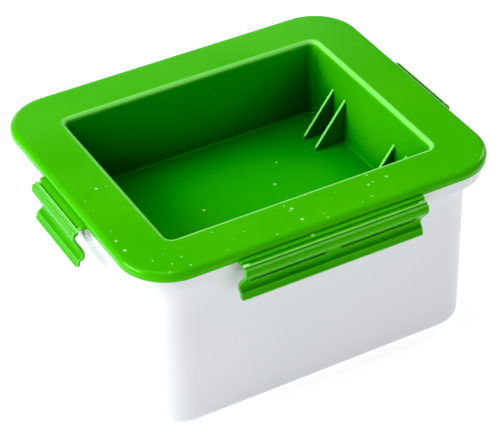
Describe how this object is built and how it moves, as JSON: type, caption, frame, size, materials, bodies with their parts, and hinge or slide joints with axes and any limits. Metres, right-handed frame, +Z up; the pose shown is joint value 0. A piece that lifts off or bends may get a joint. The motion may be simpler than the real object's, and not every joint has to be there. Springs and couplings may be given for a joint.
{
  "type": "cheese mold",
  "caption": "Rectangular cheese mold: whey container with a slotted curd basket, a lid with a deep press well and snap latches on film hinges.",
  "frame": {"origin": "centre of the container's underside, on the table", "axes": "+Z up, X along the long side, front latch towards -Y"},
  "size_m": [0.2146, 0.1812, 0.103],
  "materials": {
    "white_plastic": "satin moulded polypropylene",
    "basket_plastic": "natural moulded polypropylene",
    "green_plastic": "gloss moulded polypropylene",
    "seal": "translucent silicone"
  },
  "bodies": {
    "container": {"container": "white_plastic"},
    "basket": {"strainer_basket": "basket_plastic"},
    "lid": {"lid": "green_plastic", "gasket": "seal", "front_hinge": "green_plastic", "back_hinge": "green_plastic", "left_hinge": "green_plastic", "right_hinge": "green_plastic"},
    "front_latch": {"front_latch": "green_plastic"},
    "back_latch": {"back_latch": "green_plastic"},
    "left_latch": {"left_latch": "green_plastic"},
    "right_latch": {"right_latch": "green_plastic"}
  },
  "joints": [
    {"name": "basket_lift", "type": "slide", "parent": "container", "child": "basket", "axis": [0, 0, 1], "range_m": [0, 0.11]},
    {"name": "lid_lift", "type": "slide", "parent": "basket", "child": "lid", "axis": [0, 0, 1], "range_m": [0, 0.08]},
    {"name": "front_latch_hinge", "type": "hinge", "parent": "lid", "child": "front_latch", "pos_m": [0, -0.0874, 0.09735], "axis": [-1, 0, 0], "range_deg": [-6, 115], "deforming": ["front_hinge"]},
    {"name": "back_latch_hinge", "type": "hinge", "parent": "lid", "child": "back_latch", "pos_m": [0, 0.0874, 0.09735], "axis": [1, 0, 0], "range_deg": [-6, 115], "deforming": ["back_hinge"]},
    {"name": "left_latch_hinge", "type": "hinge", "parent": "lid", "child": "left_latch", "pos_m": [-0.1037, 0, 0.09735], "axis": [0, 1, 0], "range_deg": [-18, 103], "deforming": ["left_hinge"]},
    {"name": "right_latch_hinge", "type": "hinge", "parent": "lid", "child": "right_latch", "pos_m": [0.1037, 0, 0.09735], "axis": [0, -1, 0], "range_deg": [-6, 115], "deforming": ["right_hinge"]}
  ]
}
